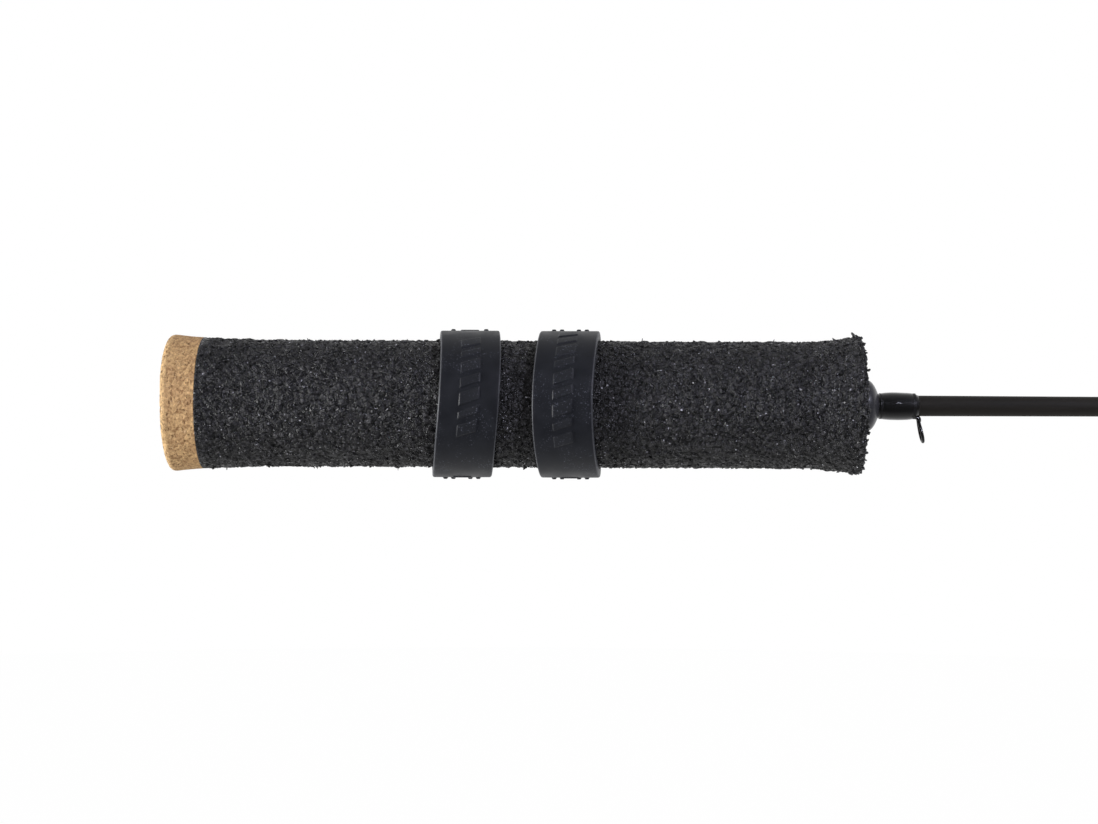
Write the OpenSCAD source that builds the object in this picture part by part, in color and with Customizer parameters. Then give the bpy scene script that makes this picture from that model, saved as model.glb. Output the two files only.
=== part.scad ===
// Ice fishing rod: a short one-piece rod for jigging through a hole in the ice.
// A tapered blank runs through a granulated-rubber grip with a cork butt cap. Two elastic bands slide along
// the grip to hold a reel's foot. Ahead of the grip are a domed winding check, a wrap with a hook keeper,
// five lined guides and a lined tip-top.
// Frame: X runs along the rod from butt to tip, Z is up, the guides hang below the blank, and the origin is
// on the rod's axis at the middle of the handle, where a hand holds it.

/* [Rod] */
// Whole length, from the butt face to the front of the tip-top
rod_len = 711; // [640:1:780]
// Blank's diameter through the handle
blank_d = 4.15; // [3.6:0.05:4.6]
// Blank's diameter at its tip
blank_tip_d = 1.5; // [1.2:0.05:1.8]

/* [Handle] */
// Length of the handle, cork cap included
handle_len = 139; // [120:1:180]
// Handle's diameter along its waist
waist_d = 25.4; // [23:0.1:30]
// Thickness of the cork butt cap
cap_len = 6.7; // [4:0.1:12]
// How much the radius grows towards the butt
rear_flare = 1.15; // [0:0.05:2]
// How much the radius grows towards the front of the grip
front_flare = 1.25; // [0:0.05:2]
// Radius of the rounded rim of the butt cap
rim_round = 1.1; // [0.4:0.1:2]
// Depth of the blank's socket in the butt cap
cap_socket = 3.5; // [2:0.1:3.8]

/* [Reel bands] */
// Width of a band
band_w = 11.8; // [8:0.1:13]
// Wall thickness of a band
band_wall = 1.85; // [1.2:0.05:3]
// Room between a band and the grip's waist
band_room = 0.2; // [0.15:0.05:0.4]
// Distance from the origin back to the rear band's centre
rear_band_back = 10.2; // [10:0.1:25]
// Distance from the origin forward to the front band's centre
front_band_ahead = 10.7; // [10:0.1:25]

/* [Winding check and butt wrap] */
// Radius of the domed winding check
check_r = 5.5; // [4.5:0.1:6.5]
// Length of the winding check
check_len = 3.6; // [2.5:0.1:5]
// Length of the thread wrap over the hook keeper's feet
butt_wrap_len = 7.2; // [6:0.1:14]
// Diameter of the hook keeper's wire
keeper_wire_d = 0.55; // [0.4:0.05:0.7]
// Length of the hook keeper's loop
keeper_loop_len = 5.3; // [4:0.1:8]
// Width of the hook keeper's loop, between wire centres
keeper_loop_w = 2.4; // [1.8:0.1:4]
// Forward lean of the hook keeper's loop, in degrees
keeper_lean = 12; // [0:1:30]

/* [Guides] */
// Distance from each guide back from the tip-top, stripper guide first
guide_from_tip = [356, 261, 181, 114, 56];
// Radius of each guide's bore
guide_bore_r = [5.4, 4.2, 3.2, 2.6, 2.3];
// Distance from the blank's axis down to each guide's centre
guide_drop = [13.0, 10.4, 8.3, 6.9, 6.2];
// Bore radius of the tip-top's ring
tip_bore_r = 1.9; // [1.5:0.1:2.2]
// Distance from the blank's axis down to the tip-top ring's centre
tip_drop = 3.0; // [2.9:0.1:3.4]
// Width of a guide's ceramic ring along the rod
ring_w = 1.6; // [1.4:0.1:2.2]
// Diameter of the wire of the guides' legs
leg_wire_d = 0.9; // [0.7:0.05:1.1]
// Length of a guide's foot
foot_len = 7; // [5:0.5:10]

/* [Hidden] */
$fn = 64;
GUIDES = len(guide_from_tip);
GUIDE_PARTS = ["frame", "ring", "thread", "epoxy"];

// Places along the rod
butt_x = -handle_len / 2;
front_x = handle_len / 2;
cap_x = butt_x + cap_len;
tip_x = butt_x + rod_len;
rear_flare_len = 39.5;
rear_flare_power = 4.5;
front_flare_len = 11.4;
front_flare_power = 1.3;
flare_steps = 8;
front_round = 0.8;
blank_r = blank_d / 2;
blank_start = cap_x - cap_socket;
taper_x = front_x + 12;

// Reel bands: the tilts of their cut edges, as they sit after being pushed along the grip by hand
band_in_r = waist_d / 2 + band_room;
rear_band_tilt = [0, 2.6, 4.5];
front_band_tilt = [0, 0, -5];

// Butt wrap
check_hole_rim = 0.35;
thread_lift = 0.53;
wrap_drop = 0.08;
coat_lift = 0.2;
coat_edge = 0.06;
coat_lip = 0.6;
coat_shoulder = 1.5;
keeper_foot_gap = 0.62;
keeper_bend_slack = 0.3;

// Guides and tip-top
ring_land = 0.6;
collar_wall = 0.5;
collar_w = 1.1;
foot_w = 1.1;
foot_h = 0.5;
neck_h = 0.95;
neck_len = 1.6;
leg_reach = 3.2;
leg_spread = 50;
leg_meet = 0.1;
foot_wrap_lift = 0.46;
foot_wrap_drop = 0.26;
thread_past_foot = 2.6;
tube_r = 1.2;
tube_len = 10;
tube_socket = 6;
tip_thread_len = 5;
tip_thread_lift = 0.28;
tip_ring_x = tip_x - ring_w / 2;
tube_x0 = tip_ring_x - tube_len;

function guide_node(i, part) = str("guide_", i + 1, "_", part);
function guide_x(i) = tip_x - guide_from_tip[i];
function ring_wall(bore_r) = 0.55 + 0.14 * bore_r;
function ring_out_r(bore_r) = bore_r + ring_wall(bore_r);
function is_double(i) = i == 0;

// Handle's radius at x: a straight waist that flares smoothly at both ends.
function handle_r(x) =
    waist_d / 2
    + rear_flare * pow(max(0, (butt_x + rear_flare_len - x) / rear_flare_len), rear_flare_power)
    + front_flare * pow(max(0, (x - front_x + front_flare_len) / front_flare_len), front_flare_power);

// Blank's radius at x: parallel through the handle, then one straight taper to the tip.
function blank_r_at(x) =
    x < taper_x ? blank_r : blank_r + (blank_tip_d / 2 - blank_r) * (x - taper_x) / (tip_x - taper_x);

// Points [radius, x] of the handle's surface from x0 to x1.
function handle_line(x0, x1) =
    [for (i = [0 : flare_steps]) let (x = x0 + (x1 - x0) * i / flare_steps) [handle_r(x), x]];

// A quarter circle of rounding radius r about centre [radius, x], from angle a0 to a1.
function round_line(centre, r, a0, a1) =
    [for (i = [0 : 4]) let (a = a0 + (a1 - a0) * i / 4) centre + r * [cos(a), sin(a)]];

// A solid of revolution about the X axis, from [radius, x] points.
module revolve_x(points) {
    rotate([0, 90, 0]) rotate_extrude() polygon(points);
}

// A cylinder or cone along X.
module rod_x(x0, x1, r0, r1) {
    translate([x0, 0, 0]) rotate([0, 90, 0]) cylinder(h = x1 - x0, r1 = r0, r2 = r1);
}

// A round wire from p to q.
module wire(p, q, d) {
    v = q - p;
    translate(p) rotate([0, acos(v[2] / norm(v)), atan2(v[1], v[0])]) cylinder(h = norm(v), d = d);
}

// ---- Handle ----

module butt_cap() color("burlywood") {
    rim_r = handle_r(butt_x + rim_round) - rim_round;
    difference() {
        revolve_x(concat(
            [[0, butt_x]],
            round_line([rim_r, butt_x + rim_round], rim_round, -90, 0),
            handle_line(butt_x + rim_round + 0.4, cap_x),
            [[0, cap_x]]
        ));
        rod_x(blank_start, cap_x + 1, blank_r, blank_r);
    }
}

module grip() color("#2c2c2f") {
    face_r = handle_r(front_x - front_round) - front_round;
    revolve_x(concat(
        [[blank_r, cap_x]],
        handle_line(cap_x, butt_x + rear_flare_len),
        handle_line(front_x - front_flare_len, front_x - front_round - 0.4),
        round_line([face_r, front_x - front_round], front_round, 0, 90),
        [[blank_r, front_x]]
    ));
}

module blank() color("#26241f") {
    tip_end = tube_x0 + tube_socket;
    revolve_x([
        [0, blank_start], [blank_r, blank_start], [blank_r, taper_x],
        [blank_r_at(tip_end), tip_end], [0, tip_end]
    ]);
}

// A sleeve whose edges are cut on a slant, so that it still runs true along the grip.
module band(x, tilt) color("#1d1e22") {
    reach = 4 * band_in_r;
    difference() {
        intersection() {
            rod_x(x - band_w, x + band_w, band_in_r + band_wall, band_in_r + band_wall);
            translate([x, 0, 0]) rotate(tilt) cube([band_w, reach, reach], center = true);
        }
        rod_x(x - 2 * band_w, x + 2 * band_w, band_in_r, band_in_r);
    }
}

module winding_check() color("#35363b") {
    hole_rim_r = blank_r + check_hole_rim;
    last = acos(hole_rim_r / check_r);
    steps = 10;
    dome = [
        for (i = [0 : steps]) let (t = last * i / steps)
        [check_r * cos(t), front_x + check_len * sin(t) / sin(last)]
    ];
    revolve_x(concat([[blank_r, front_x]], dome, [[blank_r, front_x + check_len]]));
}

// ---- Thread wraps and their epoxy coats ----

// The space that a wrap's thread fills, with its axis a little below the blank's to take in a foot.
module thread_body(x0, x1, r, drop) {
    translate([0, 0, -drop]) rod_x(x0, x1, r, r);
}

module thread_wrap(x0, x1, r, drop) color("#151515") {
    difference() {
        thread_body(x0, x1, r, drop);
        blank();
        children();
    }
}

// Clear epoxy over a wrap: a long low barrel. An open end runs out onto the blank, and a closed end stops
// flat against the piece beside it.
module epoxy_coat(x0, x1, r, drop, open_start = true, open_end = true) color("#202020") {
    shut_r = r + coat_lift / 3;
    start = open_start
        ? [[blank_r_at(x0) + drop + coat_edge, x0 - coat_lip], [r + coat_lift / 2, x0 + 0.1]]
        : [[shut_r, x0]];
    end = open_end
        ? [[r + coat_lift / 2, x1 - 0.1], [blank_r_at(x1) + drop + coat_edge, x1 + coat_lip]]
        : [[shut_r, x1]];
    middle = [[r + coat_lift, x0 + coat_shoulder], [r + coat_lift, x1 - coat_shoulder]];
    outline = concat(start, middle, end);
    difference() {
        translate([0, 0, -drop])
            revolve_x(concat([[0, outline[0][1]]], outline, [[0, outline[len(outline) - 1][1]]]));
        thread_body(x0, x1, r, drop);
        blank();
        children();
    }
}

// ---- Butt wrap and hook keeper ----

wrap_x0 = front_x + check_len;
wrap_x1 = wrap_x0 + butt_wrap_len;
butt_thread_r = blank_r + thread_lift;

module butt_thread() thread_wrap(wrap_x0, wrap_x1, butt_thread_r, wrap_drop) keeper_feet();

module butt_epoxy() {
    epoxy_coat(wrap_x0, wrap_x1, butt_thread_r, wrap_drop, open_start = false) hook_keeper();
}

// Where the loop of the hook keeper springs from its feet.
keeper_root = [wrap_x1 + keeper_bend_slack, 0, -blank_r - keeper_wire_d / 2];

// Two feet, side by side under the blank and bound down by the thread.
module keeper_feet() {
    for (s = [-1, 1])
        translate([0, s * keeper_foot_gap / 2, keeper_root[2]])
            rod_x(wrap_x0 + 2, keeper_root[0] + keeper_wire_d / 2, keeper_wire_d / 2, keeper_wire_d / 2);
}

// A drop-shaped loop: two straight sides that flow into a round end, and bite a little into it. Its wire is
// drawn a hair thinner than the feet, as a bent wire is.
module keeper_loop() {
    d = keeper_wire_d * 0.94;
    side = keeper_foot_gap / 2;
    end_r = keeper_loop_w / 2;
    end_drop = keeper_loop_len - end_r - d / 2;
    splay = asin(end_r / norm([end_drop, side])) - atan2(side, end_drop);
    reach = [end_r * cos(splay), -end_drop + end_r * sin(splay)];
    bite = 0.03;
    for (s = [-1, 1]) wire([0, s * side, 0], [0, s * (reach[0] - bite), reach[1] - 2 * bite], d);
    translate([0, 0, -end_drop]) rotate([90, 0, 90]) rotate([0, 0, 180 - splay])
        rotate_extrude(angle = 180 + 2 * splay) translate([end_r, 0]) circle(d = d, $fn = 32);
}

module hook_keeper() color("#1a1a1a") {
    keeper_feet();
    translate(keeper_root) rotate([0, -keeper_lean, 0]) keeper_loop();
}

// ---- Guides ----

// A ceramic ring, its bore a short straight land between rounded lips.
module ceramic_ring(x, drop, bore_r) color("#3a3a3d") {
    out_r = ring_out_r(bore_r);
    edge = ring_wall(bore_r) * 0.45;
    half = ring_w / 2;
    land = ring_land / 2;
    lip_r = bore_r + edge * 0.3;
    lip = land + (half - land) * 0.6;
    translate([x, 0, -drop]) revolve_x([
        [bore_r, -land], [lip_r, -lip], [bore_r + edge, -half], [out_r - edge / 2, -half],
        [out_r, edge / 2 - half], [out_r, half - edge / 2],
        [out_r - edge / 2, half], [bore_r + edge, half], [lip_r, lip], [bore_r, land]
    ]);
}

// The plug shape of a ring's metal collar, and the room inside it for the ceramic ring.
module collar_plug(x, drop, bore_r) {
    r = ring_out_r(bore_r) + collar_wall;
    translate([0, 0, -drop]) rod_x(x - collar_w / 2, x + collar_w / 2, r, r);
}

module ring_room(x, drop, bore_r) {
    r = ring_out_r(bore_r);
    translate([0, 0, -drop]) rod_x(x - 2 * ring_w, x + 2 * ring_w, r, r);
}

// Where a guide's foot begins, under the blank, on its side way (1 towards the tip, -1 towards the butt).
function foot_x(i, way) = guide_x(i) + way * leg_reach;

// Two wire legs that rise from the collar to the foot's neck.
module guide_legs(i, way) {
    mid_r = ring_out_r(guide_bore_r[i]) + collar_wall * 0.7;
    x = guide_x(i);
    neck_x = foot_x(i, way) + way * neck_len * 0.25;
    for (s = [-1, 1])
        wire(
            [x, s * mid_r * sin(leg_spread), -guide_drop[i] + mid_r * cos(leg_spread)],
            [neck_x, s * leg_meet, -blank_r_at(neck_x) - neck_h / 2],
            leg_wire_d
        );
}

// A flat foot, thick at its neck and ground to a thin end, so that the thread climbs it. It is drawn
// reaching up into the blank, which is then cut away.
module guide_foot(i, way) {
    x0 = foot_x(i, way);
    x1 = x0 + way * neck_len;
    x2 = x0 + way * (neck_len + foot_len);
    top = -blank_r_at(x0) / 2;
    rotate([90, 0, 0]) linear_extrude(foot_w, center = true) polygon([
        [x0, top], [x0, -blank_r_at(x0) - neck_h], [x1, -blank_r_at(x1) - foot_h],
        [x2, -blank_r_at(x2) - 0.12], [x2, top]
    ]);
}

function ways(i) = is_double(i) ? [-1, 1] : [1];

module guide_frame(i) color("#18181a") {
    difference() {
        union() {
            collar_plug(guide_x(i), guide_drop[i], guide_bore_r[i]);
            for (way = ways(i)) {
                guide_legs(i, way);
                guide_foot(i, way);
            }
        }
        blank();
        ring_room(guide_x(i), guide_drop[i], guide_bore_r[i]);
    }
}

// Thread over each foot of a guide, or the epoxy over that thread. It starts past the foot's neck.
module guide_wraps(i, is_coat) {
    r = blank_r_at(guide_x(i)) + foot_wrap_lift;
    for (way = ways(i)) {
        near = foot_x(i, way) + way * (neck_len + coat_lip);
        far = foot_x(i, way) + way * (neck_len + foot_len + thread_past_foot);
        x0 = min(near, far);
        x1 = max(near, far);
        if (is_coat) epoxy_coat(x0, x1, r, foot_wrap_drop) guide_foot(i, way);
        else thread_wrap(x0, x1, r, foot_wrap_drop) guide_foot(i, way);
    }
}

module guide_part(i, part) {
    if (part == "frame") guide_frame(i);
    if (part == "ring") ceramic_ring(guide_x(i), guide_drop[i], guide_bore_r[i]);
    if (part == "thread") guide_wraps(i, false);
    if (part == "epoxy") guide_wraps(i, true);
}

// ---- Tip-top ----

module tip_frame() color("#18181a") {
    side_r = ring_out_r(tip_bore_r) + collar_wall * 0.6;
    difference() {
        union() {
            rod_x(tube_x0, tip_ring_x, tube_r, tube_r);
            collar_plug(tip_ring_x, tip_drop, tip_bore_r);
            for (s = [-1, 1])
                wire(
                    [tube_x0 + tube_len * 0.4, s * tube_r * 0.7, -tube_r * 0.4],
                    [tip_ring_x, s * side_r, -tip_drop],
                    leg_wire_d
                );
        }
        blank();
        ring_room(tip_ring_x, tip_drop, tip_bore_r);
    }
}

module tip_part(part) {
    x0 = tube_x0 - tip_thread_len;
    r = blank_r_at(x0) + tip_thread_lift;
    if (part == "frame") tip_frame();
    if (part == "ring") ceramic_ring(tip_ring_x, tip_drop, tip_bore_r);
    if (part == "thread") thread_wrap(x0, tube_x0, r, 0);
    if (part == "epoxy") epoxy_coat(x0, tube_x0, r, 0, open_end = false);
}

butt_cap();
grip();
blank();
winding_check();
butt_thread();
butt_epoxy();
hook_keeper();
band(-rear_band_back, rear_band_tilt);  // rear_band
band(front_band_ahead, front_band_tilt);  // front_band
for (i = [0 : GUIDES - 1]) for (p = GUIDE_PARTS)
    guide_part(i, p);
for (p = GUIDE_PARTS)
    tip_part(p);
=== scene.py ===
"""Looks for the ice fishing rod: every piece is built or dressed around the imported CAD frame.

Lengths in this file are millimetres until a mesh is made, where they become metres. Positions and sizes come
from the CAD nodes, so the pieces follow the frame if it changes.
"""

import math

import bpy
import numpy as np
from mathutils import Matrix, Vector


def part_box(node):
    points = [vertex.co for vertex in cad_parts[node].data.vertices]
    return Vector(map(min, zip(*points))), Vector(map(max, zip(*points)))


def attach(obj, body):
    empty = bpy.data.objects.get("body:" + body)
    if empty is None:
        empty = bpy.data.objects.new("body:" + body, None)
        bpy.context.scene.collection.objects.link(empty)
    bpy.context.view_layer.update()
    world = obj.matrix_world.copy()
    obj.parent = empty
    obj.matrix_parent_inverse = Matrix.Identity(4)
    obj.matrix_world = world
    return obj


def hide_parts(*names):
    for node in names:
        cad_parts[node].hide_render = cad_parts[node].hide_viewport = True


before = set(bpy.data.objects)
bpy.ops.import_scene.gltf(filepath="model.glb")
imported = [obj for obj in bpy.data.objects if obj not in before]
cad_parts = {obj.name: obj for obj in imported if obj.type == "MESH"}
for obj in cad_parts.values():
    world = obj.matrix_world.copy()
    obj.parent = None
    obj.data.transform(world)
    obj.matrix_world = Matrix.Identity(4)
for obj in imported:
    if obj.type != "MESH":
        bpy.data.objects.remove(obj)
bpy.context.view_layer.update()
MM = 0.001
TAU = 2 * math.pi


# ---------- measuring the frame


def node_points(node):
    """A CAD node's vertices in millimetres, as rows of x, y, z."""
    return np.array([v.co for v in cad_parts[node].data.vertices], float).reshape(-1, 3) / MM


def outline(node, least=0.0):
    """A turned node's outer surface as x and radius, from one end to the other. Vertices nearer the axis than
    least are left out, such as a socket's."""
    p = node_points(node)
    radius = np.hypot(p[:, 1], p[:, 2])
    p, radius = p[radius > least], radius[radius > least]
    places = np.unique(np.round(p[:, 0], 3))
    return places, np.array([radius[np.abs(p[:, 0] - x) < 0.002].max() for x in places])


def span(node):
    """A node's lowest and highest corner in millimetres."""
    lo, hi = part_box(node)
    return np.array(lo) / MM, np.array(hi) / MM


# The blank's taper, the bands' outer radius, the cap's rear face and how far apart the turns of thread are.
BLANK_X, BLANK_R = outline("blank")
BAND_R = span("rear_band")[1][1]
CAP_X = span("butt_cap")[0][0]
THREAD_PITCH = 0.3158


def blank_radius(x):
    return np.interp(x, BLANK_X, BLANK_R)


def resampled(x, r, step):
    """A profile's points set evenly along it, about step apart."""
    length = np.concatenate([[0], np.cumsum(np.hypot(np.diff(x), np.diff(r)))])
    along = np.linspace(0, length[-1], int(length[-1] / step))
    return np.stack([np.interp(along, length, x), np.interp(along, length, r)], axis=1)


# ---------- noise


def hashed(cells, seed):
    """A repeatable random number from 0 to 1 for each row of whole-number cell coordinates."""
    c = cells.astype(np.int64).astype(np.uint64)
    h = c[..., 0] * np.uint64(73856093) ^ c[..., 1] * np.uint64(19349663) ^ c[..., 2] * np.uint64(83492791)
    h = (h + np.uint64(seed * 7919 + 1)) * np.uint64(0x9E3779B97F4A7C15)
    h ^= h >> np.uint64(29)
    h *= np.uint64(0xBF58476D1CE4E5B9)
    h ^= h >> np.uint64(32)
    return (h & np.uint64(0xFFFFFF)).astype(float) / 0xFFFFFF


def smooth_noise(p, size, seed):
    """Soft noise from -1 to 1 at points p, with lumps about size across."""
    q = p / size
    cell = np.floor(q)
    f = q - cell
    f = f * f * (3 - 2 * f)
    total = np.zeros(len(p))
    for corner in np.ndindex(2, 2, 2):
        weight = np.prod(np.where(corner, f, 1 - f), axis=1)
        total += weight * hashed(cell + corner, seed)
    return total * 2 - 1


def layered_noise(p, size, seed, layers=3):
    return sum(smooth_noise(p, size / 2**k, seed + k) / 2**k for k in range(layers))


def grains(p, size, seed):
    """For points p among random grains about size across: how far the nearest grain's centre is, how much
    farther the second nearest is (both in grain sizes), and a random number for the nearest grain."""
    q = p / size
    cell = np.floor(q)
    near = np.full(len(p), 9.0)
    second = np.full(len(p), 9.0)
    own = np.zeros(len(p))
    for step in np.ndindex(3, 3, 3):
        c = cell + step - 1
        centre = c + np.stack([hashed(c, seed + k) for k in range(3)], axis=1)
        d = np.linalg.norm(q - centre, axis=1)
        closer = d < near
        second = np.where(closer, near, np.minimum(second, d))
        own = np.where(closer, hashed(c, seed + 3), own)
        near = np.where(closer, d, near)
    return near, second - near, own


def ramp(value, low, high):
    """0 below low, 1 above high, and smooth between."""
    t = np.clip((value - low) / (high - low), 0, 1)
    return t * t * (3 - 2 * t)


# ---------- making meshes


class Shape:
    """Points in millimetres, with faces of three and four corners, gathered from simple parts."""

    def __init__(self):
        self.points, self.faces, self.count = [], [], 0

    def add(self, points, *faces):
        self.points.append(np.asarray(points, float))
        self.faces += [np.asarray(f, np.int64) + self.count for f in faces]
        self.count += len(points)
        return self

    def join(self, other):
        """Takes in another shape that was made in one part."""
        return self.add(other.points[0], *other.faces)

    def mesh(self, name, smooth=True):
        mesh = bpy.data.meshes.new(name)
        corners = np.concatenate([f.ravel() for f in self.faces]).astype(np.int32)
        sizes = np.concatenate([np.full(len(f), f.shape[1]) for f in self.faces]).astype(np.int32)
        mesh.vertices.add(self.count)
        mesh.vertices.foreach_set("co", (np.vstack(self.points) * MM).ravel())
        mesh.loops.add(len(corners))
        mesh.loops.foreach_set("vertex_index", corners)
        mesh.polygons.add(len(sizes))
        mesh.polygons.foreach_set("loop_start", np.concatenate([[0], np.cumsum(sizes)[:-1]]).astype(np.int32))
        mesh.polygons.foreach_set("use_smooth", np.full(len(sizes), smooth))
        mesh.update(calc_edges=True)
        mesh.validate()
        return mesh


def placed(name, data):
    """A new object in the scene."""
    made = bpy.data.objects.new(name, data)
    bpy.context.scene.collection.objects.link(made)
    return made


def dress(thing, material):
    thing.data.materials.clear()
    thing.data.materials.append(material)


def piece(name, shape, material, body="rod", stands_for=(), smooth=True):
    """A new visible piece that rides on a CAD body, and may stand for CAD nodes."""
    made = placed(name, shape.mesh(name, smooth) if isinstance(shape, Shape) else shape)
    dress(made, material)
    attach(made, body)
    if stands_for:
        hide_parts(*stands_for)
    return made


def grid_faces(rows, columns, loop_rows=False):
    """Quads over a grid of points whose columns wrap round, and whose rows may too."""
    r = np.arange(rows if loop_rows else rows - 1)
    a, b = np.meshgrid(r, np.arange(columns), indexing="ij")
    c = (a + 1) % rows
    d = (b + 1) % columns
    quads = np.stack([a * columns + b, a * columns + d, c * columns + d, c * columns + b], axis=-1)
    return quads.reshape(-1, 4)


def turned(profile, segments=96, drop=0.0):
    """A ring-shaped or solid turned shape round the X axis: profile is a closed loop of x, radius points."""
    profile = np.asarray(profile, float)
    angle = np.arange(segments) * TAU / segments
    x = np.repeat(profile[:, :1], segments, axis=1)
    points = np.stack([x, profile[:, 1:] * np.cos(angle), profile[:, 1:] * np.sin(angle) - drop], axis=-1)
    return Shape().add(points.reshape(-1, 3), grid_faces(len(profile), segments, loop_rows=True))


def bored(x, r, core, segments):
    """A turned shape with the outer line x, r and a bore of radius core."""
    return turned(np.vstack([np.stack([x, r], axis=1), [[x[-1], core], [x[0], core]]]), segments)


def outward(profile, points, segments):
    """Which way is out of a turned surface at each of its points, given the profile it was turned from."""
    tangent = np.gradient(profile, axis=0)
    tangent /= np.linalg.norm(tangent, axis=1)[:, None]
    normal = np.stack([-tangent[:, 1], tangent[:, 0]], axis=1).repeat(segments, axis=0)
    radius = np.hypot(points[:, 1], points[:, 2])[:, None]
    return np.hstack([normal[:, :1], normal[:, 1:] * points[:, 1:] / radius])


def rounded(corners, radius, steps=5):
    """The closed outline of corners with each corner rounded off. radius is one number, or one per corner."""
    corners = np.asarray(corners, float)
    radii = np.broadcast_to(radius, len(corners))
    out = []
    for i, c in enumerate(corners):
        a = corners[i - 1] - c
        b = corners[(i + 1) % len(corners)] - c
        reach = min(radii[i], 0.49 * np.linalg.norm(a), 0.49 * np.linalg.norm(b))
        if reach <= 0:
            out.append(c)
            continue
        start = c + a / np.linalg.norm(a) * reach
        end = c + b / np.linalg.norm(b) * reach
        for t in np.linspace(0, 1, steps + 1):
            out.append((1 - t) ** 2 * start + 2 * t * (1 - t) * c + t * t * end)
    return np.array(out)


def smooth_path(points, steps=10):
    """A smooth curve through given points."""
    p = np.asarray(points, float)
    p = np.vstack([2 * p[0] - p[1], p, 2 * p[-1] - p[-2]])
    t = (np.arange(steps) / steps)[:, None]
    out = [
        0.5 * (
            2 * p[i] + (p[i + 1] - p[i - 1]) * t
            + (2 * p[i - 1] - 5 * p[i] + 4 * p[i + 1] - p[i + 2]) * t**2
            + (3 * p[i] - p[i - 1] - 3 * p[i + 1] + p[i + 2]) * t**3
        )
        for i in range(1, len(p) - 2)
    ]
    return np.vstack(out + [p[-2:-1]])


def swept(path, radius, sides=16, flat=1.0):
    """A wire along path, closed at both ends by domes. radius and flat are one number or one per path point,
    and flat is how thick the wire is along Z for its width."""
    path = np.asarray(path, float)
    along = np.gradient(path, axis=0)
    along /= np.linalg.norm(along, axis=1)[:, None]
    radius = np.broadcast_to(radius, len(path)).astype(float)
    flat = np.broadcast_to(flat, len(path)).astype(float)
    lean = np.radians([80, 55, 30])
    tip_before = path[0] - along[0] * radius[0] * np.sin(lean)[:, None]
    tip_after = path[-1] + along[-1] * radius[-1] * np.sin(lean)[::-1, None]
    centres = np.vstack([tip_before, path, tip_after])
    radii = np.concatenate([radius[0] * np.cos(lean), radius, radius[-1] * np.cos(lean)[::-1]])
    flats = np.concatenate([[flat[0]] * 3, flat, [flat[-1]] * 3])
    alongs = np.vstack([[along[0]] * 3, along, [along[-1]] * 3])
    angle = np.arange(sides) * TAU / sides
    side = np.cross(along[0], [0.13, 0.27, 0.95])
    rings = []
    for centre, direction, r, f in zip(centres, alongs, radii, flats):
        side = side - direction * side.dot(direction)
        side /= np.linalg.norm(side)
        ring = (np.outer(np.cos(angle), side) + np.outer(np.sin(angle), np.cross(direction, side))) * r
        ring[:, 2] *= f
        rings.append(centre + ring)
    k = np.arange(sides)
    n = (k + 1) % sides
    count = len(rings) * sides
    start = np.stack([np.full(sides, count), n, k], axis=1)
    end = np.stack([np.full(sides, count + 1), count - sides + k, count - sides + n], axis=1)
    points = np.vstack(rings + [path[:1] - along[0] * radius[0], path[-1:] + along[-1] * radius[-1]])
    return points, grid_faces(len(rings), sides), start, end


def fused(name, shape, voxel, smoothing=6):
    """One skin round a shape's overlapping parts, softened where they meet as weld and paint soften them."""
    source = placed(name + "_parts", shape.mesh(name + "_parts"))
    remesh = source.modifiers.new("skin", "REMESH")
    remesh.mode = "VOXEL"
    remesh.voxel_size = voxel * MM
    remesh.use_smooth_shade = True
    soften = source.modifiers.new("soften", "SMOOTH")
    soften.factor = 0.5
    soften.iterations = smoothing
    graph = bpy.context.evaluated_depsgraph_get()
    mesh = bpy.data.meshes.new_from_object(source.evaluated_get(graph))
    mesh.name = name
    bpy.data.objects.remove(source)
    return mesh


# ---------- materials


def add_node(tree, kind, **settings):
    made = tree.nodes.new(kind)
    for key, value in settings.items():
        setattr(made, key, value)
    return made


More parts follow.
